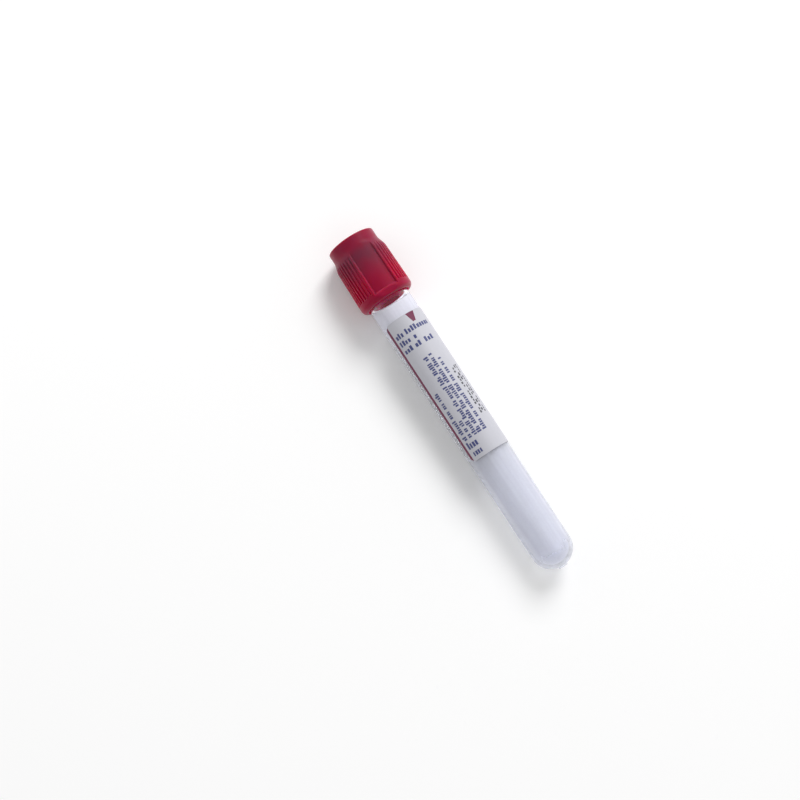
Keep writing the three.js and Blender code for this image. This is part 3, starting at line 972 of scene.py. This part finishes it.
def build_lights(stage):
    """A large softbox beyond the part's far side, and a world that is brighter low down than overhead.

    Where the world is looked at, straight, in a reflection or through clear plastic, it is a white backdrop
    low down.  A lamp of P watts at distance d lights a level white surface to P cos(slope) / (pi^2 d^2),
    where 1 is white, and that share of white is what the stage's key level holds.
    """
    add_softbox("key_softbox", direction=(-0.68, 0.74, 0.9), reach=2.0, size=0.9, level=stage.key_level)
    world = bpy.data.worlds.new("white_world")
    world.use_nodes = True
    tree = world.node_tree
    tree.nodes.clear()
    direction = add_node(tree, "ShaderNodeTexCoord")
    upward = add_node(tree, "ShaderNodeSeparateXYZ", {0: direction.outputs["Generated"]})
    sky = between(tree, upward.outputs["Z"], stage.horizon_level, stage.zenith_level)
    backdrop = add_node(tree, "ShaderNodeMapRange", {
        "Value": upward.outputs["Z"], "From Min": stage.white_below, "From Max": stage.dim_above,
        "To Min": 1.0, "To Max": stage.zenith_level})
    strength = add_node(tree, "ShaderNodeMix", {0: rays(tree, *LOOKED_AT), 2: sky, 3: backdrop.outputs[0]},
                        data_type="FLOAT")
    glow = add_node(tree, "ShaderNodeBackground", {"Color": (1, 1, 1, 1), "Strength": strength.outputs[0]})
    output = add_node(tree, "ShaderNodeOutputWorld")
    tree.links.new(glow.outputs[0], output.inputs["Surface"])
    bpy.context.scene.world = world


# ---------------------------------------------------------------- operators


class TubeOperator:
    """What the operators share."""
    bl_options = {"REGISTER", "UNDO"}


class BLOODTUBE_OT_tube(TubeOperator, bpy.types.Operator):
    """Add the clear moulded tube"""
    bl_idname = "bloodtube.tube"
    bl_label = "Clear Tube"

    def execute(self, context):
        piece = build_tube(context.scene.tube_sizes)
        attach(piece, "vessel")
        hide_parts("tube")
        return {"FINISHED"}


class BLOODTUBE_OT_stopper(TubeOperator, bpy.types.Operator):
    """Add the ribbed rubber stopper"""
    bl_idname = "bloodtube.stopper"
    bl_label = "Rubber Stopper"

    def execute(self, context):
        piece = build_stopper(context.scene.stopper_sizes, context.scene.tube_sizes)
        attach(piece, "closure")
        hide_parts("stopper")
        return {"FINISHED"}


class BLOODTUBE_OT_label(TubeOperator, bpy.types.Operator):
    """Add the paper label"""
    bl_idname = "bloodtube.label"
    bl_label = "Paper Label"

    def execute(self, context):
        piece = build_label(context.scene.label_sizes, context.scene.tube_sizes)
        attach(piece, "vessel")
        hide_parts("label")
        return {"FINISHED"}


class PrintOperator(TubeOperator):
    """What the operators for the print share: a kind of ink is one piece, which rides with the label."""

    def execute(self, context):
        piece = self.build(context.scene.label_sizes, context.scene.tube_sizes)
        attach(piece, "vessel")
        return {"FINISHED"}


class BLOODTUBE_OT_red_print(PrintOperator, bpy.types.Operator):
    """Add the label's stripe and colour tab"""
    bl_idname = "bloodtube.red_print"
    bl_label = "Red Stripe and Tab"
    build = staticmethod(build_red_print)


class BLOODTUBE_OT_blue_print(PrintOperator, bpy.types.Operator):
    """Add the blocks that stand for the label's print"""
    bl_idname = "bloodtube.blue_print"
    bl_label = "Blue Print Blocks"
    build = staticmethod(build_blue_print)


class BLOODTUBE_OT_black_print(PrintOperator, bpy.types.Operator):
    """Add the label's jet-printed dashes"""
    bl_idname = "bloodtube.black_print"
    bl_label = "Black Dashes"
    build = staticmethod(build_black_print)


class BLOODTUBE_OT_stage(TubeOperator, bpy.types.Operator):
    """Add the table, the lights and the camera"""
    bl_idname = "bloodtube.stage"
    bl_label = "Table, Lights and Camera"

    def execute(self, context):
        stage = context.scene.stage_sizes
        build_table(stage)
        build_lights(stage)
        build_camera(stage)
        context.scene.view_settings.view_transform = "Standard"
        return {"FINISHED"}


# ---------------------------------------------------------------- add-on


class BLOODTUBE_PT_panel(bpy.types.Panel):
    """Sidebar panel with the operators and the sizes."""
    bl_idname = "BLOODTUBE_PT_panel"
    bl_label = "Blood Collection Tube"
    bl_space_type = "VIEW_3D"
    bl_region_type = "UI"
    bl_category = "Blood Tube"

    def draw(self, context):
        for operator in OPERATORS:
            self.layout.operator(operator.bl_idname)
        for group in GROUPS:
            values = getattr(context.scene, group)
            box = self.layout.box()
            for name in GROUPS[group].__annotations__:
                box.prop(values, name)


OPERATORS = (BLOODTUBE_OT_tube, BLOODTUBE_OT_stopper, BLOODTUBE_OT_label, BLOODTUBE_OT_red_print,
             BLOODTUBE_OT_blue_print, BLOODTUBE_OT_black_print, BLOODTUBE_OT_stage)
GROUPS = {"tube_sizes": TubeSizes, "stopper_sizes": StopperSizes, "label_sizes": LabelSizes,
          "stage_sizes": StageSizes}


def register():
    for item in (*GROUPS.values(), *OPERATORS, BLOODTUBE_PT_panel):
        bpy.utils.register_class(item)
    for name, group in GROUPS.items():
        setattr(bpy.types.Scene, name, PointerProperty(type=group))


def unregister():
    for name in GROUPS:
        delattr(bpy.types.Scene, name)
    for item in (BLOODTUBE_PT_panel, *OPERATORS, *GROUPS.values()):
        bpy.utils.unregister_class(item)


def main():
    """Register the add-on with its sizes, then build every piece and the stage."""
    register()
    bpy.ops.bloodtube.tube()
    bpy.ops.bloodtube.stopper()
    bpy.ops.bloodtube.label()
    bpy.ops.bloodtube.red_print()
    bpy.ops.bloodtube.blue_print()
    bpy.ops.bloodtube.black_print()
    bpy.ops.bloodtube.stage()


if __name__ == "__main__":
    main()
